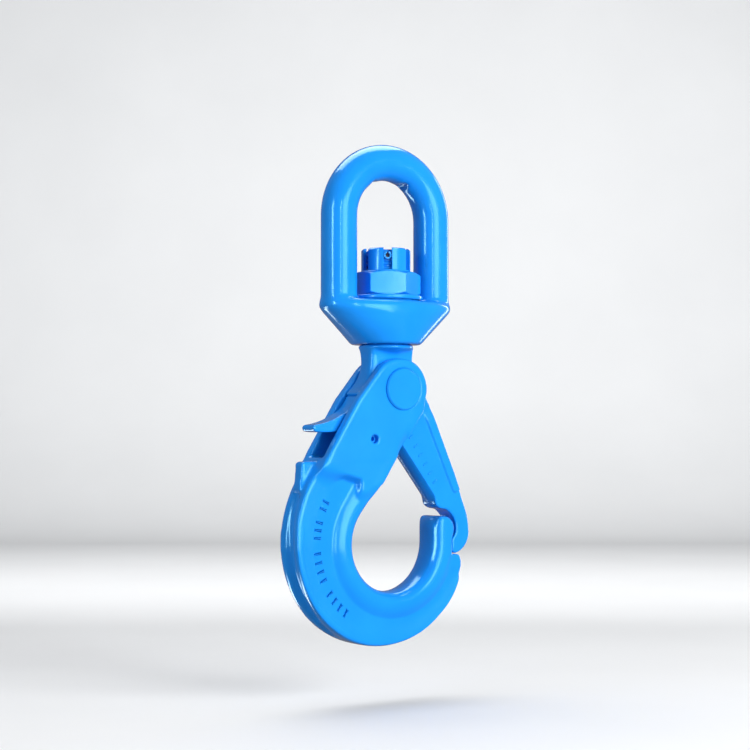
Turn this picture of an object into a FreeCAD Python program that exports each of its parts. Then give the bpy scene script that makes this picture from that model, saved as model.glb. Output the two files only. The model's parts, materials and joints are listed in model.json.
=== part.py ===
"""Swivel self-locking hook as a parametric FreeCAD document, in millimetres.

X points towards the gate, Y to the back and Z up. The origin is the inside of the eye's crown, where
the eye hangs. The swivel axis is the Z axis, and the forgings share the mid-plane Y = 0. Depths are
measured downwards from the origin, so a depth of 60 is at Z = -60.
"""
import FreeCAD, Part
import math
import os
import Sketcher

V = FreeCAD.Vector

SIZES = [
    # eye
    ("bar_radius", 9.5, "round bar of the bow"),
    ("bow_radius", 29.8, "centre line of the crown, and half the leg spacing"),
    ("hub_top_depth", 63.9, "flat top of the hub"),
    ("hub_waist_depth", 67.9, "where the hub starts to narrow"),
    ("hub_base_depth", 87.0, "underside of the hub"),
    ("hub_half_length", 40.8, "hub along X"),
    ("hub_half_width", 21.5, "hub along Y"),
    ("hub_base_radius", 18.5, "underside of the hub"),
    ("hub_round", 3.8, "rounding of the hub's top edge"),
    ("hub_base_round", 2.0, "rounding of the hub's lower edge"),
    ("hub_bore_radius", 12.08, "running fit on the stem's journal"),
    ("recess_radius", 17.7, "bearing recess in the hub"),
    ("recess_depth", 70.9, "floor of the bearing recess"),
    # thrust bearing
    ("ball_radius", 1.95, "bearing ball"),
    ("ball_ring_radius", 15.0, "ring that the ball centres lie on"),
    ("ball_depth", 66.6, "ball centres"),
    ("ball_count", 18, "balls in the bearing"),
    ("race_play", 0.1, "gap between a ball and its race or pocket"),
    ("race_gap", 1.3, "from the ball centres to the face of each race"),
    ("race_inner_radius", 12.4, "lower race and cage"),
    ("race_outer_radius", 17.4, "lower race and cage"),
    ("cage_thickness", 1.0, "plate of the cage"),
    ("washer_radius", 19.5, "flange of the upper race"),
    ("washer_depth", 63.6, "underside of that flange"),
    ("washer_round", 0.5, "edge of that flange"),
    # nut and stem
    ("nut_seat_depth", 61.3, "where the nut sits on the upper race"),
    ("nut_flats", 32.0, "across flats"),
    ("hex_height", 12.3, "hexagon of the nut"),
    ("crown_radius", 13.0, "slotted crown of the nut"),
    ("crown_height", 12.5, "slotted crown of the nut"),
    ("crown_fillet", 1.2, "foot of the crown"),
    ("slot_width", 4.4, "crown slots"),
    ("slot_depth", 11.4, "crown slots"),
    ("slot_count", 6, "crown slots"),
    ("thread_radius", 11.0, "M22 thread of stem and nut"),
    ("stem_top_depth", 37.3, "end of the stem"),
    ("journal_top_depth", 65.8, "top of the stem's journal"),
    ("journal_radius", 12.0, "stem inside the hub"),
    ("shoulder_depth", 87.3, "shoulder ring under the hub"),
    ("shoulder_radius", 14.8, "shoulder ring under the hub"),
    ("nut_pin_radius", 2.0, "roll pin of the nut"),
    ("nut_pin_bore", 1.2, "hollow of that pin"),
    ("nut_pin_length", 25.0, "roll pin of the nut"),
    ("nut_pin_depth", 40.6, "roll pin of the nut"),
    ("nut_turn", -120.5, "direction of the pin and of a crown slot, in degrees from X"),
    # latch arm
    ("tongue_thickness", 12.4, "tongue, heel and gate"),
    ("strip_height", 0.7, "raised strip on each face of the gate"),
    ("load_pin_x", 3.0, "load pin"),
    ("load_pin_depth", 110.5, "load pin"),
    ("load_pin_radius", 8.0, "shank of the load pin"),
    ("load_pin_play", 0.06, "running fit of the arm on the load pin"),
    ("pin_head_radius", 11.0, "heads of the load pin"),
    ("pin_head_sink", 1.4, "how deep a head sits in the fork"),
    ("pin_head_proud", 1.1, "how far a head stands out"),
    # hook body
    ("web_thickness", 16.6, "spine and bowl"),
    ("bead_thickness", 19.6, "inner bead of the bowl, and the tip"),
    ("fork_thickness", 24.0, "over the two ears"),
    ("fork_slot", 13.0, "between the two ears"),
    ("fork_floor_depth", 146.0, "bottom of the slot"),
    ("rim_height", 0.6, "raised strip along the outer rim"),
    ("channel_width", 8.0, "shallow channel down the back of the spine"),
    ("guard_width", 7.0, "guard under the trigger lever"),
    ("bowl_round", 1.2, "inner edges of the bowl"),
    # trigger
    ("trigger_x", -15.2, "trigger pin"),
    ("trigger_depth", 136.6, "trigger pin"),
    ("trigger_width", 11.6, "trigger lever"),
    ("trigger_pin_radius", 2.25, "roll pin of the trigger"),
    ("trigger_pin_bore", 1.25, "hollow of that pin"),
    ("trigger_pin_length", 18.6, "roll pin of the trigger"),
    ("trigger_play", 0.06, "running fit of the trigger on its pin"),
    ("spring_pocket_width", 5.4, "slot in the trigger for the spring"),
    ("spring_pocket_radius", 6.7, "slot in the trigger for the spring"),
    ("spring_wire", 1.1, "wire diameter"),
    ("spring_radius", 3.9, "centre line of the coil"),
    ("spring_pitch", 1.3, "one turn along Y"),
    ("spring_turns", 2.9, "turns between the two legs"),
    ("spring_fixed_angle", 150.0, "where the fixed leg leaves the coil, in degrees"),
    ("spring_fixed_leg", 7.2, "leg on the fork's floor"),
    ("spring_moving_leg", 14.2, "leg under the lever"),
    ("pin_slit", 0.8, "slit along each roll pin"),
]

doc = FreeCAD.newDocument("swivel_hook")
sheet = doc.addObject("Spreadsheet::Sheet", "Sizes")
for row, (name, value, meaning) in enumerate(SIZES, start=1):
    sheet.set(f"A{row}", meaning)
    sheet.set(f"B{row}", str(value))
    sheet.setAlias(f"B{row}", name)
doc.recompute()


def size(name):
    """The value of one named size."""
    return float(sheet.get(name))


def bind(item, **expressions):
    """Tie properties to expressions over the sheet; a double underscore stands for a dot."""
    for name, expression in expressions.items():
        item.setExpression(name.replace("__", "."), expression)


def named(item, label):
    item.Label = label
    return item


# --- small helpers for bodies and sketches ---

def new_body(name):
    return doc.addObject("PartDesign::Body", name)


def origin_item(body, role):
    """One of the body's own origin planes or axes."""
    return next(item for item in body.Origin.OriginFeatures if item.Role == role)


def new_sketch(body, name, plane="XZ_Plane", lift="0"):
    """An empty sketch on an origin plane, lifted along the plane's normal by an expression."""
    sketch = body.newObject("Sketcher::SketchObject", name)
    sketch.AttachmentSupport = [(origin_item(body, plane), "")]
    sketch.MapMode = "FlatFace"
    sketch.setExpression("AttachmentOffset.Base.z", lift)
    return sketch


def outline(sketch, start, steps):
    """Close an outline from start. A step is an end point, or a point on an arc and its end."""
    here = V(*start, 0)
    for step in steps + [[start]]:
        there = V(*step[-1], 0)
        if here.distanceToPoint(there) < 1e-6:
            continue
        if len(step) == 1:
            sketch.addGeometry(Part.LineSegment(here, there), False)
        else:
            sketch.addGeometry(Part.Arc(here, V(*step[0], 0), there), False)
        here = there


def circle(sketch, radius, across=None, up=None):
    """A circle whose radius and centre follow expressions; no centre means the sketch's origin."""
    index = sketch.addGeometry(Part.Circle(V(0, 0, 0), V(0, 0, 1), 1), False)
    if across is None and up is None:
        sketch.addConstraint(Sketcher.Constraint("Coincident", index, 3, -1, 1))
    else:
        place(sketch, "DistanceX", index, across)
        place(sketch, "DistanceY", index, up)
    limit = sketch.addConstraint(Sketcher.Constraint("Radius", index, 1))
    sketch.setExpression(f"Constraints[{limit}]", radius)


def place(sketch, kind, index, expression):
    """Hold a circle's centre at a distance from the sketch's origin."""
    limit = sketch.addConstraint(Sketcher.Constraint(kind, -1, 1, index, 3, 1))
    sketch.setExpression(f"Constraints[{limit}]", expression)


def pad(body, sketch, length, symmetric=True, backwards=False):
    feature = body.newObject("PartDesign::Pad", sketch.Name + "_pad")
    feature.Profile = sketch
    feature.SideType = "Symmetric" if symmetric else "One side"
    feature.Reversed = backwards
    feature.setExpression("Length", length)
    sketch.Visibility = False
    return feature


def pocket(body, sketch, length=None, backwards=False):
    """Cut the sketch: right through to both sides, or to a length on one side."""
    feature = body.newObject("PartDesign::Pocket", sketch.Name + "_cut")
    feature.Profile = sketch
    if length is None:
        feature.Type = "ThroughAll"
        feature.SideType = "Symmetric"
    else:
        feature.SideType = "One side"
        feature.Reversed = backwards
        feature.setExpression("Length", length)
    return feature


def wide_pocket(body, sketch, width):
    """Cut the sketch to a width centred on its plane."""
    feature = pocket(body, sketch)
    feature.Type = "Length"
    feature.setExpression("Length", width)
    return feature


def revolve(body, sketch, axis="V_Axis", cut=False):
    kind = "PartDesign::Groove" if cut else "PartDesign::Revolution"
    feature = body.newObject(kind, sketch.Name + "_turn")
    feature.Profile = sketch
    feature.ReferenceAxis = (sketch, [axis])
    feature.Angle = 360
    return feature


def around(body, feature, count):
    """Repeat a feature round the Z axis."""
    pattern = body.newObject("PartDesign::PolarPattern", feature.Name + "_ring")
    pattern.Originals = [feature]
    pattern.Axis = (origin_item(body, "Z_Axis"), [""])
    pattern.Angle = 360
    pattern.setExpression("Occurrences", count)
    body.Tip = pattern
    return pattern


def mirror_y(body, features):
    """Repeat features on the other side of the mid-plane."""
    mirrored = body.newObject("PartDesign::Mirrored", features[0].Name + "_mirror")
    mirrored.Originals = features
    mirrored.MirrorPlane = (origin_item(body, "XZ_Plane"), [""])
    body.Tip = mirrored
    return mirrored


def raised(body, name, near, near_lift, far, far_lift):
    """A raised area on both faces whose sides slope from one outline to another."""
    low = new_sketch(body, name + "_foot", lift=near_lift)
    outline(low, *near)
    high = new_sketch(body, name + "_face", lift=far_lift)
    outline(high, *far)
    loft = body.newObject("PartDesign::AdditiveLoft", name)
    loft.Profile = low
    loft.Sections = [high]
    loft.Ruled = True
    return loft


# --- eye ---

def swivel_eye():
    """Bow of round bar on a hub that narrows from an oval to a round underside."""
    bow = doc.addObject("Part::Torus", "bow")
    bow.Angle3 = 180
    bind(bow, Radius1="Sizes.bow_radius", Radius2="Sizes.bar_radius")
    bow.Placement.Rotation = FreeCAD.Rotation(V(1, 0, 0), 90)
    bind(bow, Placement__Base__z="Sizes.bar_radius - Sizes.bow_radius")
    legs = []
    for side, sign in (("gate_side", ""), ("back_side", "-")):
        leg = doc.addObject("Part::Cylinder", "leg_" + side)
        bind(
            leg,
            Radius="Sizes.bar_radius",
            Height="Sizes.hub_waist_depth - Sizes.bow_radius + Sizes.bar_radius",
            Placement__Base__x=sign + "Sizes.bow_radius",
            Placement__Base__z="-Sizes.hub_waist_depth",
        )
        legs.append(leg)

    sections = []
    for name, depth in (("hub_rim", "hub_top_depth"), ("hub_waist", "hub_waist_depth")):
        oval = doc.addObject("Part::Ellipse", name)
        bind(oval, MajorRadius="Sizes.hub_half_length", MinorRadius="Sizes.hub_half_width")
        bind(oval, Placement__Base__z="-Sizes." + depth)
        sections.append(oval)
    base = doc.addObject("Part::Circle", "hub_base")
    bind(base, Radius="Sizes.hub_base_radius", Placement__Base__z="-Sizes.hub_base_depth")
    sections.append(base)
    hub = doc.addObject("Part::Loft", "hub_blank")
    hub.Sections = sections
    hub.Solid = True
    hub.Ruled = True
    doc.recompute()

    rounded = doc.addObject("Part::Fillet", "hub")
    rounded.Base = hub
    rounded.Edges = [
        (number, radius, radius)
        for radius, depth in (
            (size("hub_round"), size("hub_top_depth")),
            (size("hub_base_round"), size("hub_base_depth")),
        )
        for number in level_edges(hub.Shape, -depth)
    ]

    blank = doc.addObject("Part::MultiFuse", "eye_blank")
    blank.Shapes = [bow] + legs + [rounded]
    bore = doc.addObject("Part::Cylinder", "hub_bore")
    bind(bore, Radius="Sizes.hub_bore_radius", Height="Sizes.hub_base_depth")
    bind(bore, Placement__Base__z="-Sizes.hub_base_depth - 1")
    recess = doc.addObject("Part::Cylinder", "bearing_recess")
    bind(recess, Radius="Sizes.recess_radius", Height="Sizes.recess_depth - Sizes.washer_depth + 1")
    bind(recess, Placement__Base__z="-Sizes.recess_depth")
    hollow = doc.addObject("Part::MultiFuse", "eye_hollow")
    hollow.Shapes = [bore, recess]
    eye = doc.addObject("Part::Cut", "eye")
    eye.Base = blank
    eye.Tool = hollow
    return named(eye, "swivel_eye")


def level_edges(shape, height):
    """Numbers of the edges that lie flat at one height."""
    return [
        number
        for number, edge in enumerate(shape.Edges, start=1)
        if abs(edge.BoundBox.ZMin - height) < 1e-3 and abs(edge.BoundBox.ZMax - height) < 1e-3
    ]


# --- thrust bearing under the nut ---

def groove_points(toward):
    """Where a race's groove starts, bottoms and ends; toward is 1 for the upper race."""
    ring = size("ball_ring_radius")
    centre = -size("ball_depth")
    radius = size("ball_radius") + size("race_play")
    face = centre + toward * size("race_gap")
    half = math.sqrt(radius**2 - size("race_gap") ** 2)
    return (ring + half, face), (ring, centre + toward * radius), (ring - half, face)


def lower_race():
    body = new_body("lower_race")
    inner, outer = size("race_inner_radius"), size("race_outer_radius")
    floor = -size("recess_depth")
    first, bottom, last = groove_points(-1)
    section = new_sketch(body, "lower_race_section")
    outline(section, (inner, floor), [
        [(outer, floor)],
        [(outer, first[1])],
        [first],
        [bottom, last],
        [(inner, last[1])],
    ])
    revolve(body, section)
    return named(body, "bearing_lower_race")


def upper_race():
    """Race and cover washer in one: its flange covers the recess in the hub."""
    body = new_body("upper_race")
    inner, outer = size("thread_radius"), size("race_outer_radius") - 0.2
    top, under = -size("nut_seat_depth"), -size("washer_depth")
    flange, edge = size("washer_radius"), size("washer_round")
    first, bottom, last = groove_points(1)
    section = new_sketch(body, "upper_race_section")
    outline(section, (inner, top), [
        [(flange - edge, top)],
        [(flange, top - edge)],
        [(flange, under + edge)],
        [(flange - edge, under)],
        [(outer, under)],
        [(outer, first[1])],
        [first],
        [bottom, last],
        [(inner, last[1])],
    ])
    revolve(body, section)
    return named(body, "bearing_upper_race")


def bearing_cage():
    body = new_body("cage")
    plate = new_sketch(body, "cage_plate", "XY_Plane", "-Sizes.ball_depth")
    circle(plate, "Sizes.race_outer_radius")
    circle(plate, "Sizes.race_inner_radius")
    pad(body, plate, "Sizes.cage_thickness")
    hole = new_sketch(body, "cage_hole", "XY_Plane", "-Sizes.ball_depth")
    circle(hole, "Sizes.ball_radius + Sizes.race_play", "Sizes.ball_ring_radius", "0")
    around(body, pocket(body, hole), "Sizes.ball_count")
    return named(body, "bearing_cage")


def bearing_balls():
    balls = []
    for number in range(int(size("ball_count"))):
        turn = f"{number} * 360 deg / Sizes.ball_count"
        ball = doc.addObject("Part::Sphere", f"ball_{number}")
        bind(
            ball,
            Radius="Sizes.ball_radius",
            Placement__Base__x=f"Sizes.ball_ring_radius * cos({turn})",
            Placement__Base__y=f"Sizes.ball_ring_radius * sin({turn})",
            Placement__Base__z="-Sizes.ball_depth",
        )
        balls.append(ball)
    ring = doc.addObject("Part::Compound", "balls")
    ring.Links = balls
    return named(ring, "bearing_balls")


# --- nut and its pin ---

def castle_nut():
    body = new_body("nut")
    seat = -size("nut_seat_depth")
    shelf = seat + size("hex_height")
    top = shelf + size("crown_height")
    corner = size("nut_flats") / math.sqrt(3)
    corners = [
        (corner * math.cos(math.radians(60 * k + 30)), corner * math.sin(math.radians(60 * k + 30)))
        for k in range(6)
    ]
    hexagon = new_sketch(body, "hexagon", "XY_Plane", "-Sizes.nut_seat_depth")
    outline(hexagon, corners[0], [[point] for point in corners[1:]])
    pad(body, hexagon, "Sizes.hex_height", symmetric=False)
    crown = new_sketch(body, "crown", "XY_Plane", "Sizes.hex_height - Sizes.nut_seat_depth")
    circle(crown, "Sizes.crown_radius")
    crown_pad = pad(body, crown, "Sizes.crown_height", symmetric=False)
    doc.recompute()
    foot = body.newObject("PartDesign::Fillet", "crown_foot")
    foot.Base = (crown_pad, ring_edges(crown_pad.Shape, size("crown_radius"), shelf))
    foot.setExpression("Radius", "Sizes.crown_fillet")

    chamfers = new_sketch(body, "nut_chamfers")
    flat = size("nut_flats") / 2 - 0.3
    outline(chamfers, (flat, shelf), [[(corner + 1, shelf)], [(corner + 1, shelf - 2.0)]])
    outline(chamfers, (flat, seat), [[(corner + 1, seat)], [(corner + 1, seat + 2.0)]])
    rim = size("crown_radius")
    outline(chamfers, (rim - 0.9, top), [[(rim + 1, top)], [(rim + 1, top - 1.9)]])
    revolve(body, chamfers, cut=True)

    hole = new_sketch(body, "nut_hole", "XY_Plane")
    circle(hole, "Sizes.thread_radius")
    pocket(body, hole)
    slot = new_sketch(body, "crown_slot", "XY_Plane", "-Sizes.nut_seat_depth + Sizes.hex_height "
                      "+ Sizes.crown_height")
    half = size("slot_width") / 2
    outline(slot, (8, -half), [[(15, -half)], [(15, half)], [(8, half)]])
    around(body, pocket(body, slot, "Sizes.slot_depth"), "Sizes.slot_count")
    turn_to_pin(body)
    return named(body, "castle_nut")


def ring_edges(shape, radius, height):
    """Names of the circular edges of one radius at one height."""
    return [
        f"Edge{number}"
        for number in level_edges(shape, height)
        if isinstance(shape.Edges[number - 1].Curve, Part.Circle)
        and abs(shape.Edges[number - 1].Curve.Radius - radius) < 1e-3
    ]


def turn_to_pin(item):
    """Turn a piece about the swivel axis to the direction of the nut's pin."""
    item.Placement.Rotation = FreeCAD.Rotation(V(0, 0, 1), 1)
    item.setExpression("Placement.Rotation.Angle", "Sizes.nut_turn * 1 deg")


def roll_pin(name, plane, radius, bore, length, label):
    """A hollow spring pin with a slit along its length."""
    body = new_body(name)
    tube = new_sketch(body, name + "_tube", plane)
    circle(tube, radius)
    circle(tube, bore)
    pad(body, tube, length)
    slit = new_sketch(body, name + "_slit", plane)
    half, reach = size("pin_slit") / 2, 3.0
    outline(slit, (-half, 0), [[(half, 0)], [(half, reach)], [(-half, reach)]])
    pocket(body, slit)
    return named(body, label)


def nut_roll_pin():
    body = roll_pin(
        "nut_pin", "YZ_Plane", "Sizes.nut_pin_radius", "Sizes.nut_pin_bore",
        "Sizes.nut_pin_length", "nut_roll_pin",
    )
    turn_to_pin(body)
    bind(body, Placement__Base__z="-Sizes.nut_pin_depth")
    return body


# --- latch arm ---

def at_height(start, end, height):
    """Point at one height on the line from start to end."""
    share = (height - start[1]) / (end[1] - start[1])
    return (start[0] + share * (end[0] - start[0]), height)


GATE_SHOULDER, GATE_KNEE, GATE_BEND = (17.5, -103.9), (40.5, -155), (48, -173)
GATE_START = (-13.2, -88)
GATE = [
    [(-13.2, -97.5)],
    [(-15.8, -106), (-21.5, -112.7)],       # flare down to the heel
    [(-21.5, -113.2)],
    [(-13.2, -121.6)],                      # bevelled sear face
    [(-8, -125.2)],
    [(28, -171.1)],                         # inner edge of the gate
    [(31.2, -173.6), (35, -174.2)],
    [(40.4, -178.9), (42, -185)],           # pocket that goes round the tip
    [(41.3, -188), (39.4, -190)],
    [(39.2, -196)],
    [(40.1, -197.5), (42.2, -198)],         # rounded nose
    [(48.6, -193.8), (50.8, -184.5)],
    [(50, -179), GATE_BEND],
    [GATE_KNEE],
    [GATE_SHOULDER],                        # outer edge
    [(14.3, -98)],
    [(14.3, -88)],
]
STRIP_START = at_height(GATE_SHOULDER, GATE_KNEE, -117.5)
STRIP = [
    [GATE_KNEE],                            # along the gate's outer edge
    [at_height(GATE_KNEE, GATE_BEND, -166.3)],
    [(42.2, -167), (39.2, -164)],
    [(20.6, -123.6)],                       # inner side, beside the panel
    [(20.8, -120.2), STRIP_START],
]


def latch_arm():
    """One forging: stem, shoulder ring, tongue between the ears, heel and gate."""
    body = new_body("arm")
    thread, journal = size("thread_radius"), size("journal_radius")
    top, step = -size("stem_top_depth"), -size("journal_top_depth")
    ring, shoulder = size("shoulder_radius"), -size("shoulder_depth")
    stem = new_sketch(body, "stem")
    outline(stem, (0, top), [
        [(thread - 1.2, top)],
        [(thread, top - 1.2)],
        [(thread, step)],
        [(journal, step)],
        [(journal, shoulder)],
        [(ring - 0.8, shoulder)],
        [(ring, shoulder - 0.8)],
        [(ring, shoulder - 1.8)],
        [(ring - 0.8, shoulder - 2.6)],
        [(8.6, -91.0), (6.2, -93.4)],
        [(0, -93.4)],
    ])
    revolve(body, stem)
    tongue = new_sketch(body, "gate")
    outline(tongue, GATE_START, GATE)
    pad(body, tongue, "Sizes.tongue_thickness")
    strip = new_sketch(body, "strip")
    outline(strip, STRIP_START, STRIP)
    pad(body, strip, "Sizes.tongue_thickness + 2 * Sizes.strip_height")
    eye = new_sketch(body, "pivot_bore")
    circle(eye, "Sizes.load_pin_radius + Sizes.load_pin_play", "Sizes.load_pin_x",
           "-Sizes.load_pin_depth")
    pocket(body, eye)
    drill = doc.addObject("Part::Cylinder", "stem_cross_hole")
    bind(drill, Radius="Sizes.nut_pin_radius", Height="4 * Sizes.thread_radius")
    drill.Placement.Rotation = (
        FreeCAD.Rotation(V(0, 0, 1), size("nut_turn")) * FreeCAD.Rotation(V(0, 1, 0), 90)
    )
    reach = 2 * size("thread_radius")
    angle = math.radians(size("nut_turn"))
    drill.Placement.Base = V(-reach * math.cos(angle), -reach * math.sin(angle), 0)
    bind(drill, Placement__Base__z="-Sizes.nut_pin_depth")
    arm = doc.addObject("Part::Cut", "arm_drilled")
    arm.Base = body
    arm.Tool = drill
    return named(arm, "latch_arm")


# --- hook body ---

BOWL_X, BOWL_Z, BOWL_R = 0.4, -191.2, 25.3      # inside of the bowl
BOWL_BOTTOM = (BOWL_X, BOWL_Z - BOWL_R)
EAR_SLOPE = math.radians(33.5)                   # inner edge of the ears, from the vertical
BOWL_SHOULDER = (
    BOWL_X - BOWL_R * math.cos(EAR_SLOPE),
    BOWL_Z + BOWL_R * math.sin(EAR_SLOPE),
)


def on_ear_line(height):
    """Point at one height on the straight inner edge above the bowl."""
    return (BOWL_SHOULDER[0] + (height - BOWL_SHOULDER[1]) * math.tan(EAR_SLOPE), height)


APEX = on_ear_line(-141.6)
TIP_TOP = -177.7
TIP_INNER = BOWL_X + BOWL_R
TIP_CORNER = 5.8                                 # inner corner of the tip
CORNER_SAG = TIP_CORNER * (1 - math.sqrt(0.5))
# from the notch round the tip and the bowl to the top of the ears' inner edge
TIP = [
    [(38.6, -186)],
    [(37.0, -180.0), (32.0, TIP_TOP)],
    [(TIP_INNER + TIP_CORNER, TIP_TOP)],
    [(TIP_INNER + CORNER_SAG, TIP_TOP - CORNER_SAG), (TIP_INNER, TIP_TOP - TIP_CORNER)],
    [(TIP_INNER, BOWL_Z)],
    [BOWL_BOTTOM, BOWL_SHOULDER],
    [APEX],
]
WEB_START = (-40, -140)
WEB = [
    [(-51.5, -157)],
    [(-60.8, -188), (-46, -227.4)],
    [(-8.4, -244.4), (30, -229.6)],
    [(37.6, -221.5), (42.6, -211.6)],
    [(42.5, -208.8)],
    [(44.3, -203.2), (42.8, -198.3)],
    [(37.3, -198.3)],
    [(37.3, -189.6)],
] + TIP + [[(-10, -135)]]
BEAD_START = (37.3, -198.3)


def bead_outline(inset):
    """The bowl's thick inner bead; inset moves its outer side towards the bowl."""
    return BEAD_START, [
        [(37.3, -189.6)],
    ] + TIP + [
        [(-12, -150)],
        [(-30 + 0.4 * inset, -156)],
        [(-40.6 + inset, -173), (-42 + inset, -190)],
        [(-29.8 + 0.7 * inset, -220.6 + 0.7 * inset), (0, -229 + inset)],
        [(25.2 - 0.7 * inset, -219 + 0.7 * inset), (36.6 - 0.6 * inset, -200 + 0.3 * inset)],
    ]


def ear_outline(drop):
    """One ear of the fork; drop lowers its bottom edge, where it runs out into the web."""
    return (18.9, -112), [
        [(13.8, -98.7), (1.05, -94.5)],
        [(-6.6, -96.2), (-12, -100.3)],
        [(-25.2, -116)],
        [(-45.5, -147.8)],
        [(-47.2 - 0.35 * drop, -151 - 0.6 * drop)],
        [(-33, -153.6 - drop), (-25, -158 - drop)],
        [on_ear_line(-162 - 1.7 * drop)],
        [APEX],
        [(17, -122)],
    ]


def bowl_edges(shape):
    """Names of the bead's inner edges along the bowl, on both faces."""
    height = size("bead_thickness") / 2
    return [
        f"Edge{number}"
        for number, edge in enumerate(shape.Edges, start=1)
        if isinstance(edge.Curve, Part.Circle)
        and abs(edge.Curve.Radius - BOWL_R) < 1e-3
        and abs(abs(edge.Curve.Center.y) - height) < 1e-3
    ]


def hook_body():
    """Fork, spine, bowl and tip in one forging."""
    body = new_body("hook")
    web = new_sketch(body, "web")
    outline(web, WEB_START, WEB)
    pad(body, web, "Sizes.web_thickness")
    web_lift = "0.5 * Sizes.web_thickness"
    bead = raised(body, "bead", bead_outline(0), web_lift, bead_outline(3.0),
                  "0.5 * Sizes.bead_thickness")
    both = mirror_y(body, [bead])
    doc.recompute()
    crown = body.newObject("PartDesign::Fillet", "bowl_crown")
    crown.Base = (both, bowl_edges(both.Shape))
    crown.setExpression("Radius", "Sizes.bowl_round")
    body.Tip = crown
    ear = new_sketch(body, "fork")
    outline(ear, *ear_outline(0))
    pad(body, ear, "Sizes.web_thickness")
    ears = raised(body, "ears", ear_outline(7), web_lift, ear_outline(0),
                  "0.5 * Sizes.fork_thickness")
    mirror_y(body, [ears])
    doc.recompute()

    rim = new_sketch(body, "rim")
    outline(rim, (-53.8, -176), [
        [(-54.1, -194), (-50.6, -208)],
        [(-42.3, -222), (-28, -234)],
        [(-31.5, -237.5)],
        [(-55.6, -212), (-58, -175)],
    ])
    pad(body, rim, "Sizes.web_thickness + 2 * Sizes.rim_height")

    guard = new_sketch(body, "guard")
    outline(guard, (-41, -148), [
        [(-53.4, -148)],
        [(-54.8, -149.6)],
        [(-55.2, -157.5)],
        [(-56.6, -163)],
        [(-45, -163)],
    ])
    pad(body, guard, "Sizes.guard_width")

    channel = new_sketch(body, "channel")
    outline(channel, (-55.2, -163), [
        [(-58.9, -194), (-42.3, -230)],
        [(-48, -240)],
        [(-75, -200), (-62, -163)],
    ])
    wide_pocket(body, channel, "Sizes.channel_width")

    slot = new_sketch(body, "fork_slot")
    floor = -size("fork_floor_depth")
    outline(slot, (-70, -90), [
        [(-70, floor + 10)],
        [(-50, floor)],
        [(30, floor)],
        [(30, -90)],
    ])
    wide_pocket(body, slot, "Sizes.fork_slot")

    bore = new_sketch(body, "load_pin_hole")
    circle(bore, "Sizes.load_pin_radius", "Sizes.load_pin_x", "-Sizes.load_pin_depth")
    pocket(body, bore)
    for side, sign, backwards in (("front", "", False), ("back", "-", True)):
        seat = new_sketch(body, side + "_head_seat", lift=sign + "0.5 * Sizes.fork_thickness")
        circle(seat, "Sizes.pin_head_radius", "Sizes.load_pin_x", "-Sizes.load_pin_depth")
        pocket(body, seat, "Sizes.pin_head_sink", backwards)
    hole = new_sketch(body, "trigger_pin_hole")
    circle(hole, "Sizes.trigger_pin_radius", "Sizes.trigger_x", "-Sizes.trigger_depth")
    pocket(body, hole)
    return named(body, "hook_body")


# --- pins, trigger and spring ---

def load_pin():
    """Round pin with a low head on each side, sunk into the ears."""
    body = new_body("pin")
    shank, head = size("load_pin_radius"), size("pin_head_radius")
    seat = size("fork_thickness") / 2 - size("pin_head_sink")
    face = size("fork_thickness") / 2 + size("pin_head_proud")
    edge = 0.7
    section = new_sketch(body, "pin_section", "YZ_Plane")
    outline(section, (-face, 0), [
        [(-face, head - edge)],
        [(edge - face, head)],
        [(-seat, head)],
        [(-seat, shank)],
        [(seat, shank)],
        [(seat, head)],
        [(face - edge, head)],
        [(face, head - edge)],
        [(face, 0)],
    ])
    revolve(body, section, "H_Axis")
    bind(body, Placement__Base__x="Sizes.load_pin_x", Placement__Base__z="-Sizes.load_pin_depth")
    return named(body, "load_pin")


def trigger_pin():
    body = roll_pin(
        "lock_pin", "XZ_Plane", "Sizes.trigger_pin_radius", "Sizes.trigger_pin_bore",
        "Sizes.trigger_pin_length", "trigger_pin",
    )
    bind(body, Placement__Base__x="Sizes.trigger_x", Placement__Base__z="-Sizes.trigger_depth")
    return body


TRIGGER_START = (-21.3, -114.0)
TRIGGER = [
    [(-25.0, -119.8), (-31, -123.8)],       # back of the nose
    [(-39, -127.4), (-47.2, -129.2)],       # top of the lever
    [(-49, -130.8), (-47.6, -132.8)],       # rounded thumb end
    [(-39, -133.1), (-31.5, -132.3)],       # underside of the lever
    [(-25.2, -133.6), (-21.4, -137.8)],
    [(-15.2, -142.9), (-9.2, -138.4)],      # round the pin
    [(-9.9, -130.8)],
    [(-14.7, -121.4)],
]


def trigger():
    """Thumb lever with a sear on top; its middle is slotted for the spring."""
    body = new_body("lever")
    side = new_sketch(body, "lever_side")
    outline(side, TRIGGER_START, TRIGGER)
    pad(body, side, "Sizes.trigger_width")
    hollow = new_sketch(body, "spring_pocket")
    circle(hollow, "Sizes.spring_pocket_radius", "Sizes.trigger_x", "-Sizes.trigger_depth")
    wide_pocket(body, hollow, "Sizes.spring_pocket_width")
    bore = new_sketch(body, "trigger_bore")
    circle(bore, "Sizes.trigger_pin_radius + Sizes.trigger_play", "Sizes.trigger_x",
           "-Sizes.trigger_depth")
    pocket(body, bore)
    return named(body, "trigger")


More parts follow.
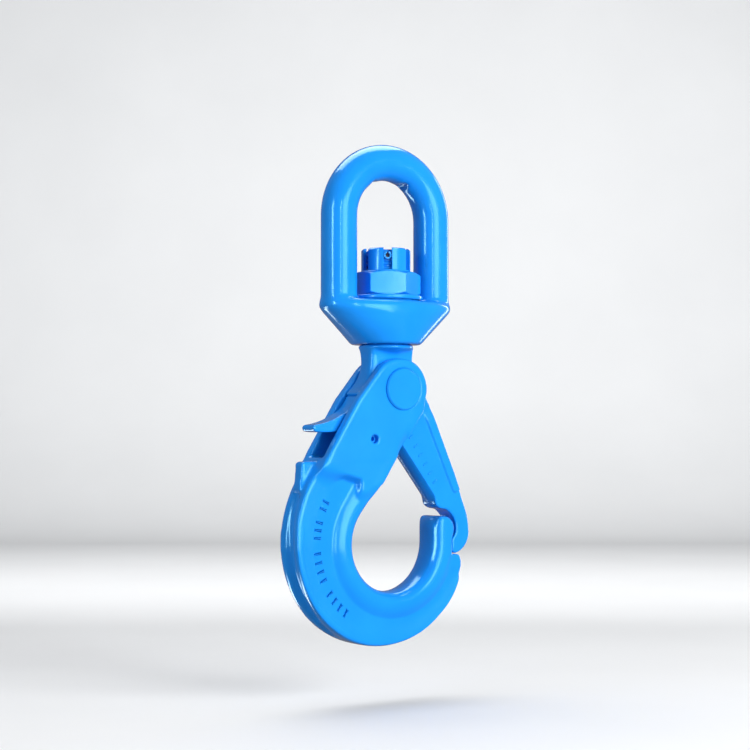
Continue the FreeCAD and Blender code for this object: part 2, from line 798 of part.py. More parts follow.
def trigger_spring():
    """Torsion spring round the trigger pin: one leg on the fork's floor, one under the lever."""
    wire, ring, pitch = size("spring_wire") / 2, size("spring_radius"), size("spring_pitch")
    fixed, turns = math.radians(size("spring_fixed_angle")), size("spring_turns")
    moving = fixed + 2 * math.pi * turns
    width = pitch * turns
    coil = Part.Wire(Part.makeHelix(pitch, width, ring).Edges).makePipeShell(
        [Part.Wire(Part.makeCircle(wire, V(ring, 0, 0), V(0, 1, 0)))], True, True
    )
    coil.rotate(V(0, 0, 0), V(0, 0, 1), math.degrees(fixed))
    legs = []
    for angle, side, height, length in (
        (fixed, -1, 0, "spring_fixed_leg"),
        (moving, 1, width, "spring_moving_leg"),
    ):
        start = V(ring * math.cos(angle), ring * math.sin(angle), height)
        away = V(-math.sin(angle), math.cos(angle), 0) * side
        legs.append(Part.makeCylinder(wire, size(length), start, away))
    item = doc.addObject("Part::Feature", "spring")
    item.Shape = coil.multiFuse(legs)
    turned = FreeCAD.Rotation(V(1, 0, 0), V(0, 0, -1), V(0, 1, 0))
    item.Placement = FreeCAD.Placement(
        V(size("trigger_x"), -width / 2, -size("trigger_depth")), turned
    )
    return named(item, "trigger_spring")


pieces = [
    swivel_eye(),
    lower_race(),
    bearing_balls(),
    bearing_cage(),
    upper_race(),
    castle_nut(),
    nut_roll_pin(),
    latch_arm(),
    hook_body(),
    load_pin(),
    trigger(),
    trigger_pin(),
    trigger_spring(),
]
doc.recompute()

for item in doc.Objects:
    if "Invalid" in item.State or "Error" in item.State:
        raise RuntimeError(f"{item.Label} did not compute: {item.State}")
os.makedirs("parts", exist_ok=True)
for piece in pieces:
    if piece.Shape.isNull() or not piece.Shape.isValid():
        raise RuntimeError(f"{piece.Label} has no valid shape")
for piece in pieces:
    piece.Shape.exportStep(f"parts/{piece.Label}.step")
    print(f"{piece.Label}: {len(piece.Shape.Solids)} solid(s), {piece.Shape.Volume:.1f} mm3")
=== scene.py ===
"""Looks of the swivel self-locking hook: soft forged surfaces under glossy blue paint.

The pieces are shaped in millimetres, and their meshes go back to metres when they are written. The
stage, the lights and the camera are in metres.
"""
import json
import math

import bmesh
import bpy
import numpy as np
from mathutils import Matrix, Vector


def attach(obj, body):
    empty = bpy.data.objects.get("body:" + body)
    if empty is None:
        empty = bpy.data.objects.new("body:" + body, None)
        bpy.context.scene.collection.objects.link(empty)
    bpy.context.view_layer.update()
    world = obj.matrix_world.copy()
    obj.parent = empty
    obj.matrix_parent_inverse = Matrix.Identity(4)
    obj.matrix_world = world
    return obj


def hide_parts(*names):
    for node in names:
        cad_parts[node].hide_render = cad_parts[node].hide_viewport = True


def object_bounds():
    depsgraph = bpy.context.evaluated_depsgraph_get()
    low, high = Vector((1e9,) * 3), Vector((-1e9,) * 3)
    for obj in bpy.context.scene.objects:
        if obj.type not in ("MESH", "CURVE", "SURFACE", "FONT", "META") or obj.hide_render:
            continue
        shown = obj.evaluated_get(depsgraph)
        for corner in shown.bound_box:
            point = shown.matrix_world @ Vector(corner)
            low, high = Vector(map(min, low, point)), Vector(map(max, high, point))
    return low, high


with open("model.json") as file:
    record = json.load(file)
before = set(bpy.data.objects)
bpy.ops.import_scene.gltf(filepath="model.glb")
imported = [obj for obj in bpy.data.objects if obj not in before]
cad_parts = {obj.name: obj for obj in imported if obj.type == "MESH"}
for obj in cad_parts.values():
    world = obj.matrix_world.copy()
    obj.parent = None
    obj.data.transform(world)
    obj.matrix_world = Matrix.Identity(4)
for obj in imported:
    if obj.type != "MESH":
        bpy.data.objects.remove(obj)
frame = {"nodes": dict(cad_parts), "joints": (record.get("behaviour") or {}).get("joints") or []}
CAD_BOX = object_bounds()
MM = 0.001


# --- reference places in XZ; the axes of the joints come from the frame ---

def joint_axis(name):
    """Where a joint's axis along Y crosses the mid-plane."""
    place = next(joint for joint in frame["joints"] if joint["name"] == name)["pos_m"]
    return place[0] / MM, place[2] / MM


PIN = joint_axis("hook_opening")
PIVOT = joint_axis("trigger_release")
LOAD_SEAT_Z = -216.5
BOWL_R = 25.3
BOWL = (0.4, LOAD_SEAT_Z + BOWL_R)
EAR_SLOPE = math.radians(33.5)
SHOULDER = (BOWL[0] - BOWL_R * math.cos(EAR_SLOPE), BOWL[1] + BOWL_R * math.sin(EAR_SLOPE))
TIP_INNER = BOWL[0] + BOWL_R
RIM_CENTRE = (-6.0, -191.0)
EAR_HALF, BEAD_HALF, WEB_HALF, VALLEY_HALF, TONGUE_HALF = 12.0, 10.2, 8.3, 7.2, 6.2


# --- mesh helpers ---

def smooth_step(low, high, value):
    """0 up to the low value, 1 from the high one, with a smooth rise between them."""
    t = np.clip((value - low) / (high - low), 0.0, 1.0)
    return t * t * (3 - 2 * t)


def fade(low, high, value):
    """1 up to the low value, 0 from the high one."""
    return 1 - smooth_step(low, high, value)


def bump(value, centre, half):
    """1 at the centre, 0 beyond half a width on either side."""
    return fade(0, half, np.abs(value - centre))


def between(value, rise, fall):
    """1 inside and 0 outside: a smooth rise over one range of the value and a fall over another."""
    return smooth_step(*rise, value) * fade(*fall, value)


def distance(points, place):
    """Distance in XZ from a place."""
    return np.hypot(points[:, 0] - place[0], points[:, 2] - place[1])


def heading(start, end):
    """Unit vector in XZ from start to end."""
    across, up = end[0] - start[0], end[1] - start[1]
    length = math.hypot(across, up)
    return across / length, up / length


def side_of(points, start, end):
    """Signed distance from the line start-end in XZ, positive to the left of its direction."""
    across, up = heading(start, end)
    return across * (points[:, 2] - start[1]) - up * (points[:, 0] - start[0])


def along(points, start, end):
    """Distance from start along the line start-end in XZ."""
    across, up = heading(start, end)
    return across * (points[:, 0] - start[0]) + up * (points[:, 2] - start[1])


WELD_DISTANCE = 2e-6


def weld(piece):
    piece.modifiers.new("weld", "WELD").merge_threshold = WELD_DISTANCE


def remeshed(node, voxel):
    """The mesh of a CAD node, welded and rebuilt on an even grid."""
    mesh = frame["nodes"][node].data.copy()
    work = bpy.data.objects.new("work", mesh)
    bpy.context.scene.collection.objects.link(work)
    weld(work)
    grid = work.modifiers.new("grid", "REMESH")
    grid.mode = "VOXEL"
    grid.voxel_size = voxel * MM
    bpy.context.view_layer.update()
    evaluated = work.evaluated_get(bpy.context.evaluated_depsgraph_get())
    result = bpy.data.meshes.new_from_object(evaluated)
    bpy.data.objects.remove(work)
    bpy.data.meshes.remove(mesh)
    return result


def read(mesh):
    """Vertices in millimetres."""
    points = np.zeros(len(mesh.vertices) * 3)
    mesh.vertices.foreach_get("co", points)
    return points.reshape(-1, 3) / MM


def write(mesh, points):
    """Vertices from millimetres."""
    mesh.vertices.foreach_set("co", (points * MM).ravel())
    mesh.update()


def links(mesh):
    """Pairs of neighbouring vertices, in both directions."""
    pairs = np.zeros(len(mesh.edges) * 2, np.int64)
    mesh.edges.foreach_get("vertices", pairs)
    pairs = pairs.reshape(-1, 2)
    return np.concatenate([pairs, pairs[:, ::-1]])


def rounded(points, pairs, voxel, radius, weight):
    """Smooth until edges are rounded to about this radius, by a weight from 0 to 1 per vertex."""
    rounds = max(2, round(1.1 * (radius / voxel) ** 2))
    count = np.bincount(pairs[:, 0], minlength=len(points))[:, None]
    factor = 0.5 * np.reshape(weight, (-1, 1))
    for _ in range(rounds):
        mean = np.stack([
            np.bincount(pairs[:, 0], points[pairs[:, 1], axis], len(points))
            for axis in range(3)
        ], 1) / count
        points = points + factor * (mean - points)
    return points


def new_piece(name, mesh, body, nodes=()):
    """A painted piece that rides on a body, in place of CAD nodes if some are given."""
    for polygon in mesh.polygons:
        polygon.use_smooth = True
    piece = bpy.data.objects.new(name, mesh)
    bpy.context.scene.collection.objects.link(piece)
    mesh.materials.clear()
    mesh.materials.append(PAINT)
    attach(piece, body)
    if nodes:
        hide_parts(*nodes)


# --- materials ---

def noise(nodes, place, scale, detail=2.0, rough=0.5):
    node = nodes.new("ShaderNodeTexNoise")
    node.inputs["Scale"].default_value = scale
    node.inputs["Detail"].default_value = detail
    node.inputs["Roughness"].default_value = rough
    nodes.id_data.links.new(place, node.inputs["Vector"])
    return node.outputs["Fac"]


def ramp(nodes, source, stops, target):
    """Colours along a value, into a socket."""
    node = nodes.new("ShaderNodeValToRGB")
    for element, (place, colour) in zip(node.color_ramp.elements, stops):
        element.position = place
        element.color = (*colour, 1)
    nodes.id_data.links.new(source, node.inputs["Fac"])
    nodes.id_data.links.new(node.outputs["Color"], target)


def span(nodes, source, low, high, target):
    """A value's range from low to high, into a socket."""
    node = nodes.new("ShaderNodeMapRange")
    node.inputs["To Min"].default_value = low
    node.inputs["To Max"].default_value = high
    nodes.id_data.links.new(source, node.inputs["Value"])
    nodes.id_data.links.new(node.outputs["Result"], target)


def bumps(nodes, shader, layers):
    """A chain of bumps on the shader's normal: (height, distance in mm, strength)."""
    tree = nodes.id_data
    last = None
    for height, deep, strength in layers:
        node = nodes.new("ShaderNodeBump")
        node.inputs["Distance"].default_value = deep * MM
        node.inputs["Strength"].default_value = strength
        tree.links.new(height, node.inputs["Height"])
        if last is not None:
            tree.links.new(last, node.inputs["Normal"])
        last = node.outputs["Normal"]
    tree.links.new(last, shader.inputs["Normal"])


def new_material(name):
    material = bpy.data.materials.new(name)
    material.use_nodes = True
    nodes = material.node_tree.nodes
    place = nodes.new("ShaderNodeTexCoord").outputs["Object"]
    return material, nodes, nodes["Principled BSDF"], place


def blue_paint():
    """Glossy bright blue powder coat on a forging: orange peel over slow forging waves."""
    material, nodes, shader, place = new_material("blue_paint")
    cloud = noise(nodes, place, 45, 4)
    ramp(nodes, cloud, [
        (0.32, (0.006, 0.222, 0.74)),
        (0.68, (0.008, 0.246, 0.8)),
    ], shader.inputs["Base Color"])
    haze = noise(nodes, place, 160, 3)
    span(nodes, haze, 0.12, 0.2, shader.inputs["Roughness"])
    wave = noise(nodes, place, 110)
    peel = noise(nodes, place, 900)
    bumps(nodes, shader, [(wave, 0.25, 0.12), (peel, 0.02, 0.1)])
    shader.inputs["Specular IOR Level"].default_value = 0.8
    shader.inputs["Specular Tint"].default_value = (0.3, 0.85, 1.0, 1)
    shader.inputs["Coat Weight"].default_value = 0.15
    shader.inputs["Coat Roughness"].default_value = 0.08
    return material


def steel(name, dark, light, rough, scale, stretch=(1, 1, 1)):
    """Ground or drawn steel: fine lines along one direction and slight stains."""
    material, nodes, shader, place = new_material(name)
    lay = nodes.new("ShaderNodeMapping")
    lay.inputs["Scale"].default_value = stretch
    material.node_tree.links.new(place, lay.inputs["Vector"])
    grain = noise(nodes, lay.outputs["Vector"], scale, 5, 0.65)
    stain = noise(nodes, place, 120, 3)
    ramp(nodes, stain, [(0.3, dark), (0.7, light)], shader.inputs["Base Color"])
    span(nodes, grain, rough * 0.75, rough * 1.3, shader.inputs["Roughness"])
    bumps(nodes, shader, [(grain, 0.03, 0.35)])
    shader.inputs["Metallic"].default_value = 1.0
    return material


PAINT = blue_paint()
BEARING_STEEL = steel("bearing_steel", (0.42, 0.43, 0.45), (0.62, 0.63, 0.65), 0.2, 500, (1, 1, 12))
CAGE_STEEL = steel("cage_steel", (0.38, 0.37, 0.33), (0.56, 0.55, 0.5), 0.36, 900)
SPRING_STEEL = steel("spring_steel", (0.1, 0.105, 0.115), (0.22, 0.225, 0.24), 0.3, 1200)


# --- eye ---

HUB_TOP_Z, HUB_EDGE_Z, HUB_EDGE_REACH = -60, -67, 9
RECESS_R = 18.6


def swivel_eye():
    voxel = 0.6
    mesh = remeshed("swivel_eye", voxel)
    points, pairs = read(mesh), links(mesh)
    height = points[:, 2]
    recess = (np.hypot(points[:, 0], points[:, 1]) < RECESS_R) & (height < HUB_TOP_Z)
    hub_edge = bump(height, HUB_EDGE_Z, HUB_EDGE_REACH)
    points = rounded(points, pairs, voxel, 2.0, np.where(recess, 0.05, 0.7))
    points = rounded(points, pairs, voxel, 5.0, np.where(recess, 0.02, hub_edge))
    write(mesh, points)
    new_piece("forged_eye", mesh, "eye", ["swivel_eye"])


# --- hook body; depth is the distance outwards from the bowl's inner line, and a pair of numbers is
# a range over which a shape fades in or out ---

BOWL_ROUNDING, BOWL_ROUNDING_TOP = 4.6, (-180, -158)
EAR_END, EAR_END_FALL, EAR_END_ON_BEAD = (-47, -150), 0.27, 6
EAR_STEP, EAR_STEP_ON_BEAD, EAR_STEP_OUTSIDE = 4.5, 7.5, 5.0
BEAD_CREST, BEAD_WIDTH, BEAD_ROUNDNESS, BEAD_SIDE = 4.2, 9.8, 2.6, (8, 14)
WEB_RISE, WEB_OUTSIDE = (14.0, 25), (20, 28)
FACE_TOP, FACE_HALF, FACE_INNER, FACE_SPAN = (-150, -147), (6.2, 6.8), (3.5, 6), ((6, 8), (22, 25))
TIP_BACK_X, TIP_BACK_Z = (24, 32), (-212, -204)
RIM_STEP_R, RIM_LIFT, RIM_ARC = 50.8, 0.6, ((166, 176), (236, 246))
CHANNEL_DEEP, CHANNEL_SIDE, CHANNEL_ARC = 1.5, (0.8, 4.2), ((146, 156), (232, 246))
SPINE_R = (48, 51)
CAD_STRIP_HALF, CAD_STRIP_DEPTH, CAD_STRIP_TOP_Z = 9.0, 19, -165
PIN_HEAD_R, PIN_SEAT_REACH, PIVOT_HOLE_R = 11.0, 2.2, 3.4
SLOT_HALF, SLOT_LOW_Z = 7.3, -150
OUTER_EDGE, OUTER_EDGE_TOP = (24, 28), (-150, -142)
GUARD_LOW_Z, GUARD_HALF = -167, 4.8


def bowl_depth(points):
    """Depth of each point: from the arc, from the tip's straight side or from the ears' edge."""
    slope = (math.sin(EAR_SLOPE), math.cos(EAR_SLOPE))
    line_end = (SHOULDER[0] + slope[0], SHOULDER[1] + slope[1])
    on_tip = (points[:, 2] > BOWL[1]) & (points[:, 0] > BOWL[0])
    on_ear = (along(points, SHOULDER, line_end) > 0) & (points[:, 0] < BOWL[0] + 6)
    depth = np.where(on_tip, points[:, 0] - TIP_INNER, distance(points, BOWL) - BOWL_R)
    return np.where(on_ear, side_of(points, SHOULDER, line_end), depth)


def crown_bowl(points):
    """Turn the flat inner wall of the bowl into a rounded one."""
    depth = bowl_depth(points)
    left = points[:, 0] < BOWL[0]
    reach = BOWL_ROUNDING * np.where(left, fade(*BOWL_ROUNDING_TOP, points[:, 2]), 1.0)
    usable = (reach > 0.2) & (depth < reach) & (depth > -1.5)
    reach = np.maximum(reach, 0.2)
    u = np.clip((reach - depth) / reach, 0, None)
    v = np.abs(points[:, 1]) / BEAD_HALF
    shrink = np.maximum(u, v) / np.maximum(np.hypot(u, v), 1e-6)
    push = np.where(usable, reach - reach * u * shrink - depth, 0)
    outward = np.stack([points[:, 0] - BOWL[0], points[:, 2] - BOWL[1]], 1)
    outward /= np.linalg.norm(outward, axis=1, keepdims=True)
    outward[(points[:, 2] > BOWL[1]) & ~left] = (1, 0)
    result = points.copy()
    result[:, 0] += outward[:, 0] * push
    result[:, 2] += outward[:, 1] * push
    result[:, 1] = np.where(usable, points[:, 1] * shrink, points[:, 1])
    return result


def face_height(points):
    """Half thickness of the hook below the ears: ears running out, inner bead, valley and web."""
    depth = bowl_depth(points)
    on_bead = fade(*BEAD_SIDE, depth)
    below = EAR_END[1] - EAR_END_FALL * (points[:, 0] - EAR_END[0]) - points[:, 2]
    below -= EAR_END_ON_BEAD * on_bead
    run_out = EAR_STEP + EAR_STEP_ON_BEAD * on_bead
    run_out += EAR_STEP_OUTSIDE * smooth_step(*WEB_OUTSIDE, depth)
    ear = VALLEY_HALF + (EAR_HALF - VALLEY_HALF) * fade(0, run_out, below)
    fall = np.clip((depth - BEAD_CREST) / BEAD_WIDTH, 0, 1) ** BEAD_ROUNDNESS
    bead = BEAD_HALF - (BEAD_HALF - VALLEY_HALF) * fall
    web = VALLEY_HALF + (WEB_HALF - VALLEY_HALF) * smooth_step(*WEB_RISE, depth)
    # a soft maximum of the three, less what it adds where they are level
    sharp, excess = 2.5, 0.16
    return np.log(sum(np.exp(sharp * height) for height in (ear, bead, web))) / sharp - excess


def shape_faces(points, share):
    """Bring the two broad faces to that height by a share per point, up to the ears and tip."""
    low = fade(*FACE_TOP, points[:, 2])
    tip = smooth_step(*TIP_BACK_X, points[:, 0]) * smooth_step(*TIP_BACK_Z, points[:, 2])
    broad = smooth_step(*FACE_HALF, np.abs(points[:, 1]))
    result = points.copy()
    target = np.sign(points[:, 1]) * face_height(points)
    result[:, 1] += share * low * (1 - tip) * broad * (target - points[:, 1])
    return result


def round_rim(points):
    """Radius and angle in degrees about the centre of the outer rim's arc."""
    across, up = points[:, 0] - RIM_CENTRE[0], points[:, 2] - RIM_CENTRE[1]
    return np.hypot(across, up), np.degrees(np.arctan2(up, across)) % 360


def raise_rim(points):
    """Fine raised strip along the outer rim of both faces."""
    radius, angle = round_rim(points)
    lift = RIM_LIFT * smooth_step(-0.4, 0.4, radius - RIM_STEP_R) * between(angle, *RIM_ARC)
    on_face = smooth_step(6.6, 7.6, np.abs(points[:, 1]))
    result = points.copy()
    result[:, 1] += np.sign(points[:, 1]) * lift * on_face
    return result


def sink_channel(points):
    """Shallow round channel down the back of the spine."""
    radius, angle = round_rim(points)
    there = between(angle, *CHANNEL_ARC) * smooth_step(*SPINE_R, radius)
    deep = CHANNEL_DEEP * fade(*CHANNEL_SIDE, np.abs(points[:, 1]))
    inward = deep * there / np.maximum(radius, 1)
    result = points.copy()
    result[:, 0] -= inward * (points[:, 0] - RIM_CENTRE[0])
    result[:, 2] -= inward * (points[:, 2] - RIM_CENTRE[1])
    return result


def hook_body():
    voxel = 0.55
    mesh = remeshed("hook_body", voxel)
    points, pairs = read(mesh), links(mesh)
    # the CAD's own strip is taken off first, and comes back crisp after the smoothing
    proud = (np.abs(points[:, 1]) > WEB_HALF) & (np.abs(points[:, 1]) < CAD_STRIP_HALF)
    proud &= (bowl_depth(points) > CAD_STRIP_DEPTH) & (points[:, 2] < CAD_STRIP_TOP_Z)
    points[proud, 1] = np.sign(points[proud, 1]) * WEB_HALF
    points = crown_bowl(points)
    points = shape_faces(points, smooth_step(*FACE_INNER, bowl_depth(points)))
    # seats stay as machined and the slot's walls nearly flat
    seat = np.abs(distance(points, PIN) - PIN_HEAD_R) < PIN_SEAT_REACH
    hole = distance(points, PIVOT) < PIVOT_HOLE_R
    slot = (np.abs(points[:, 1]) < SLOT_HALF) & (points[:, 2] > SLOT_LOW_Z)
    weight = np.where(seat | hole, 0.03, np.where(slot, 0.3, 0.8))
    points = rounded(points, pairs, voxel, 2.6, weight)
    outer_edge = smooth_step(*OUTER_EDGE, bowl_depth(points)) * fade(*OUTER_EDGE_TOP, points[:, 2])
    guard = (points[:, 2] > GUARD_LOW_Z) & (np.abs(points[:, 1]) < GUARD_HALF)
    points = rounded(points, pairs, voxel, 3.4, np.where(guard, 0, outer_edge))
    points = shape_faces(points, between(bowl_depth(points), *FACE_SPAN))
    points = sink_channel(raise_rim(points))
    write(mesh, points)
    new_piece("forged_hook", mesh, "hook", ["hook_body"])


# --- latch arm ---

GATE_INNER = ((-8.0, -125.2), (28.0, -171.1))
GATE_STRIP = ((20.6, -123.6), (39.2, -164.0))
STRIP_END_R, STRIP_LIFT, STRIP_START = 2.2, 0.85, (-2, 5)
RIDGE_DEEP, RIDGE_WIDTH, RIDGE_POWER, RIDGE_ENDS = 2.4, 2.6, 1.6, ((14, 20), (54, 60))
PANEL_TOP_Z = -117
NECK_Z, NECK_REACH, NECK_R = -98, 13, 19
JOURNAL_R, JOURNAL_LOW_Z, PIN_BORE_R = 13, -87, 9.2
THREAD_R, THREAD_LOW_Z, THREAD_PITCH, THREAD_DEEP = 12.5, -66, 2.5, 1.1
THREAD_CORE_R, THREAD_CUT_LOW_Z, THREAD_CUT_TOP_Z = 9.8, -62, -37.6


def ridge_gate(points):
    """The throat side of the gate: a ridge in the mid-plane between two sloping flanks."""
    inner = side_of(points, *GATE_INNER)
    onward = between(along(points, *GATE_INNER), *RIDGE_ENDS)
    flank = (np.abs(points[:, 1]) / TONGUE_HALF) ** RIDGE_POWER * RIDGE_DEEP
    share = (np.abs(inner) < RIDGE_WIDTH) * onward
    share = share * np.clip(1 - np.maximum(inner, 0) / RIDGE_WIDTH, 0, 1)
    across, up = heading(*GATE_INNER)
    points[:, 0] -= up * flank * share
    points[:, 2] += across * flank * share


def raise_strip(points):
    """Raised strip down the outer side of the gate, with rounded ends."""
    inside = side_of(points, *GATE_STRIP)
    place = along(points, *GATE_STRIP)
    past = np.maximum(np.maximum(-place, place - math.dist(*GATE_STRIP)), 0)
    rounding = STRIP_END_R - np.hypot(past, STRIP_END_R - np.clip(inside, -9, STRIP_END_R))
    inside = np.where(past > 0, rounding, inside)
    lift = STRIP_LIFT * smooth_step(-0.3, 0.3, inside) * smooth_step(*STRIP_START, place)
    lift *= smooth_step(5.2, 5.9, np.abs(points[:, 1]))
    points[:, 1] += np.sign(points[:, 1]) * lift


def cut_thread(points, stem, threaded):
    """Turns of thread, which show in the nut's slots and at the stem's end; stem is its radius."""
    turn = np.arctan2(points[:, 1], points[:, 0]) / (2 * math.pi)
    tooth = np.abs(((points[:, 2] / THREAD_PITCH - turn) % 1) * 2 - 1)
    cut = threaded & (stem > THREAD_CORE_R)
    cut &= (points[:, 2] > THREAD_CUT_LOW_Z) & (points[:, 2] < THREAD_CUT_TOP_Z)
    shrink = np.where(cut, 1 - THREAD_DEEP * tooth / np.maximum(stem, 1), 1)
    points[:, 0] *= shrink
    points[:, 1] *= shrink


def latch_arm():
    voxel = 0.5
    mesh = remeshed("latch_arm", voxel)
    points, pairs = read(mesh), links(mesh)
    ridge_gate(points)
    # the panel is levelled here, and its strip comes back crisp after the smoothing
    level = (points[:, 2] < PANEL_TOP_Z) & (np.abs(points[:, 1]) > TONGUE_HALF)
    points[level, 1] = np.sign(points[level, 1]) * TONGUE_HALF
    stem = np.hypot(points[:, 0], points[:, 1])
    threaded = (points[:, 2] > THREAD_LOW_Z) & (stem < THREAD_R)
    journal = (points[:, 2] > JOURNAL_LOW_Z) & (stem < JOURNAL_R)
    machined = threaded | journal | (distance(points, PIN) < PIN_BORE_R)
    neck = bump(points[:, 2], NECK_Z, NECK_REACH) * (stem < NECK_R)
    points = rounded(points, pairs, voxel, 1.8, np.where(machined, 0.03, 0.75))
    points = rounded(points, pairs, voxel, 5.0, np.where(machined, 0.0, neck))
    raise_strip(points)
    cut_thread(points, stem, threaded)
    write(mesh, points)
    new_piece("forged_latch_arm", mesh, "latch_arm", ["latch_arm"])


def trigger():
    voxel = 0.35
    mesh = remeshed("trigger", voxel)
    points, pairs = read(mesh), links(mesh)
    bore = distance(points, PIVOT) < 3.2
    write(mesh, rounded(points, pairs, voxel, 1.2, np.where(bore, 0.05, 0.8)))
    new_piece("thumb_trigger", mesh, "trigger", ["trigger"])


swivel_eye()
hook_body()
latch_arm()
trigger()


# --- machined pieces keep their CAD shape, with broken edges ---

def dress(node, material, edge=0):
    """Material for a CAD node that stays, and rounded edges of this width."""
    piece = frame["nodes"][node]
    piece.data.materials.clear()
    piece.data.materials.append(material)
    if edge:
        weld(piece)
        bevel = piece.modifiers.new("edge", "BEVEL")
        bevel.width = edge * MM
        bevel.segments = 3
        bevel.limit_method = "ANGLE"
        bevel.angle_limit = math.radians(32)
        bevel.harden_normals = True


dress("castle_nut", PAINT, 0.5)
dress("nut_roll_pin", PAINT, 0.15)
dress("trigger_pin", PAINT, 0.15)
dress("load_pin", PAINT, 0.5)
dress("bearing_upper_race", PAINT, 0.3)
dress("bearing_lower_race", BEARING_STEEL, 0.2)
dress("bearing_balls", BEARING_STEEL)
dress("bearing_cage", CAGE_STEEL)


# --- spring round the trigger pin: the coil stays with the hook, the long leg with the trigger ---

WIRE, COIL_R, PITCH, TURNS, FIXED_ANGLE = 1.1, 3.9, 1.3, 2.9, 150.0
FIXED_LEG, MOVING_LEG = 7.2, 14.2
COIL_STEPS = 144


def wire(name, places, body):
    curve = bpy.data.curves.new(name, "CURVE")
    curve.dimensions = "3D"
    curve.bevel_depth = WIRE / 2 * MM
    curve.bevel_resolution = 6
    curve.use_fill_caps = True
    line = curve.splines.new("POLY")
    line.points.add(len(places) - 1)
    for point, place in zip(line.points, places):
        point.co = (*(value * MM for value in place), 1)
    curve.materials.append(SPRING_STEEL)
    piece = bpy.data.objects.new(name, curve)
    bpy.context.scene.collection.objects.link(piece)
    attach(piece, body)
    return piece


def trigger_spring():
    first = math.radians(FIXED_ANGLE)
    last = first + 2 * math.pi * TURNS

    def on_coil(angle):
        across = PITCH * ((angle - first) / (2 * math.pi) - TURNS / 2)
        return PIVOT[0] + COIL_R * math.cos(angle), across, PIVOT[1] - COIL_R * math.sin(angle)

    def leg_end(start, angle, length):
        return start[0] + length * math.sin(angle), start[1], start[2] + length * math.cos(angle)

    coil = [on_coil(first + (last - first) * step / COIL_STEPS) for step in range(COIL_STEPS + 1)]
    fixed = wire("spring_coil", [leg_end(coil[0], first, FIXED_LEG)] + coil, "hook")
    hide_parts("trigger_spring")
    wire("spring_leg", [coil[-1], leg_end(coil[-1], last, -MOVING_LEG)], "trigger")


trigger_spring()


# --- plain raised marks in place of any lettering ---

MARK_HEIGHT, MARK_SLOPE, MARK_EDGE, MARK_WIDTH = 0.45, 0.6, 0.15, 1.7
HOOK_MARK_LENGTH, HOOK_MARK_CENTRE, HOOK_MARK_R = 4.6, (-3.0, -190.0), 45.5
HOOK_MARK_ANGLES = (152, 157, 166, 171, 176, 186, 192, 198, 204, 214, 220, 226, 232)
GATE_MARK_LENGTH, GATE_MARK_COUNT = 4.0, 6
GATE_MARK_LINE = ((12.0, -135.5), (27.6, -159.4))


def mark_bar(work, place, angle, length, face_y):
    """A low bar with sloping sides on the front face, its long side at an angle in XZ."""
    made = bmesh.ops.create_cube(work, size=1)["verts"]
    for vertex in made:
        x, y, z = vertex.co
        inset = MARK_SLOPE if y < 0 else 0
        along_bar = math.copysign(length / 2 - inset, x)
        across_bar = math.copysign(MARK_WIDTH / 2 - inset, z)
        vertex.co = (
            place[0] + along_bar * math.cos(angle) - across_bar * math.sin(angle),
            face_y + math.copysign(MARK_HEIGHT, y),
            place[1] + along_bar * math.sin(angle) + across_bar * math.cos(angle),
        )
    edges = {edge for vertex in made for edge in vertex.link_edges}
    bmesh.ops.bevel(work, geom=list(edges), offset=MARK_EDGE, segments=2, profile=0.5,
                    affect="EDGES", clamp_overlap=True)


def marks(name, body, bars, length, face_y):
    """One piece of equal bars, from their places and angles, made in millimetres and scaled."""
    work = bmesh.new()
    for place, angle in bars:
        mark_bar(work, place, angle, length, face_y)
    mesh = bpy.data.meshes.new(name)
    work.to_mesh(mesh)
    work.free()
    write(mesh, read(mesh) * MM)
    new_piece(name, mesh, body)


def gate_marks():
    start, end = GATE_MARK_LINE
    across, up = heading(start, end)
    angle = math.atan2(up, across) + math.pi / 2
    bars = []
    for step in range(GATE_MARK_COUNT):
        share = step / (GATE_MARK_COUNT - 1)
        bars.append((tuple(a + share * (b - a) for a, b in zip(start, end)), angle))
    marks("gate_marks", "latch_arm", bars, GATE_MARK_LENGTH, -TONGUE_HALF)


def hook_marks():
    bars = []
    for angle in map(math.radians, HOOK_MARK_ANGLES):
        across, up = HOOK_MARK_R * math.cos(angle), HOOK_MARK_R * math.sin(angle)
        bars.append(((HOOK_MARK_CENTRE[0] + across, HOOK_MARK_CENTRE[1] + up), angle))
    marks("hook_marks", "hook", bars, HOOK_MARK_LENGTH, -WEB_HALF)


gate_marks()
hook_marks()


# --- floor, backdrop, lights and camera, in metres ---

MIDDLE = Vector((0, 0, -0.11))
STAGE_TURN = math.radians(-35)
FLOOR_DROP, FLOOR_FRONT, FLOOR_BACK, STAGE_HALF_WIDTH = 0.03, -2.4, 1.3, 4.0
BACKDROP_R, BACKDROP_HEIGHT, BACKDROP_STEPS = 0.5, 2.4, 24


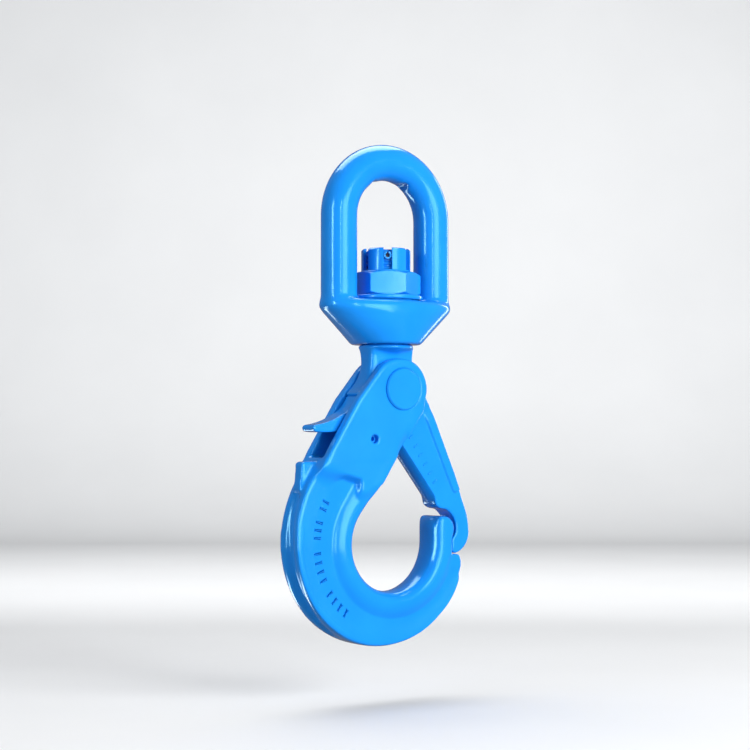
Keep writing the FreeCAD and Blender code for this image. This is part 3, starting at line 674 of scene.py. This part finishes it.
def stage():
    """Pale floor with a backdrop that curves up from it; neither shows in gloss or throws light."""
    low = CAD_BOX[0].z - FLOOR_DROP
    curve = [
        (FLOOR_BACK + BACKDROP_R * math.sin(angle), low + BACKDROP_R * (1 - math.cos(angle)))
        for angle in (math.pi / 2 * step / BACKDROP_STEPS for step in range(BACKDROP_STEPS + 1))
    ]
    material, nodes, shader, place = new_material("pale_floor")
    ramp(nodes, noise(nodes, place, 6, 4), [
        (0.3, (0.86, 0.87, 0.88)),
        (0.7, (0.89, 0.9, 0.91)),
    ], shader.inputs["Base Color"])
    shader.inputs["Roughness"].default_value = 0.8
    for name, profile in (
        ("floor", [(FLOOR_FRONT, low), (FLOOR_BACK, low)]),
        ("backdrop", curve + [(FLOOR_BACK + BACKDROP_R, low + BACKDROP_HEIGHT)]),
    ):
        sheet = bmesh.new()
        rows = [
            [sheet.verts.new((x, y, z)) for x in (-STAGE_HALF_WIDTH, STAGE_HALF_WIDTH)]
            for y, z in profile
        ]
        for first, second in zip(rows, rows[1:]):
            sheet.faces.new((first[0], first[1], second[1], second[0])).smooth = True
        mesh = bpy.data.meshes.new(name)
        sheet.to_mesh(mesh)
        sheet.free()
        mesh.materials.append(material)
        piece = bpy.data.objects.new(name, mesh)
        piece.rotation_euler.z = STAGE_TURN
        piece.visible_glossy = piece.visible_diffuse = piece.visible_shadow = False
        bpy.context.scene.collection.objects.link(piece)


def area_light(name, place, width, height, power, shines):
    """A soft box aimed at the hook's middle that works in "shading" or in "reflection" only."""
    lamp = bpy.data.lights.new(name, "AREA")
    lamp.shape = "RECTANGLE"
    lamp.size, lamp.size_y = width, height
    lamp.energy = power
    item = bpy.data.objects.new(name, lamp)
    item.location = place
    item.rotation_euler = (MIDDLE - Vector(place)).to_track_quat("-Z", "Y").to_euler()
    item.visible_glossy = shines == "reflection"
    item.visible_diffuse = shines == "shading"
    bpy.context.scene.collection.objects.link(item)
    return item


def around_object(azimuth, distance_out, height):
    """A place round the object; azimuth 0 is in front of it and 90 on the gate's side."""
    angle = math.radians(azimuth)
    return distance_out * math.sin(angle), -distance_out * math.cos(angle), height


def lights():
    area_light("key", around_object(15, 1.5, 0.12), 1.0, 1.0, 42, "shading")
    area_light("fill", around_object(-85, 1.5, 0.0), 1.0, 1.0, 11, "shading")
    area_light("overhead", (0, 0.3, 1.0), 1.0, 0.8, 7, "shading")
    area_light("front_soft", around_object(3, 1.0, 0.0), 0.55, 0.6, 4.0, "reflection")
    area_light("left_strip", around_object(-75, 1.0, 0.0), 0.1, 0.7, 3.0, "reflection")
    area_light("front_strip", around_object(-24, 1.35, 0.0), 0.04, 0.8, 2.0, "reflection")
    area_light("back_strip", around_object(105, 0.95, 0.0), 0.12, 0.8, 1.6, "reflection")
    area_light("crown", (0.15, 0.35, 0.85), 1.1, 0.7, 12, "reflection")
    area_light("low_strip", (-0.35, 0.72, -0.66), 0.6, 0.15, 2.5, "reflection")
    # this one shines past the hook onto the backdrop
    wash = area_light("wash", around_object(145, 0.45, 0.35), 1.6, 0.5, 7, "shading")
    wash.rotation_euler = (math.radians(80), 0, STAGE_TURN)
    world = bpy.data.worlds.new("studio")
    world.use_nodes = True
    sky = world.node_tree.nodes["Background"]
    sky.inputs["Color"].default_value = (0.95, 0.97, 1.0, 1)
    sky.inputs["Strength"].default_value = 0.22
    bpy.context.scene.world = world


def camera():
    """At the height of the hook's middle, from the front left."""
    data = bpy.data.cameras.new("view")
    data.sensor_width = 36
    data.lens = 82.4
    item = bpy.data.objects.new("view", data)
    item.location = (-0.5244, -0.7390, -0.1330)
    target = Vector((-0.00467, 0.00327, -0.1029))
    item.rotation_euler = (target - item.location).to_track_quat("-Z", "Y").to_euler()
    bpy.context.scene.collection.objects.link(item)
    bpy.context.scene.camera = item


stage()
lights()
camera()
bpy.context.scene.view_settings.view_transform = "Standard"
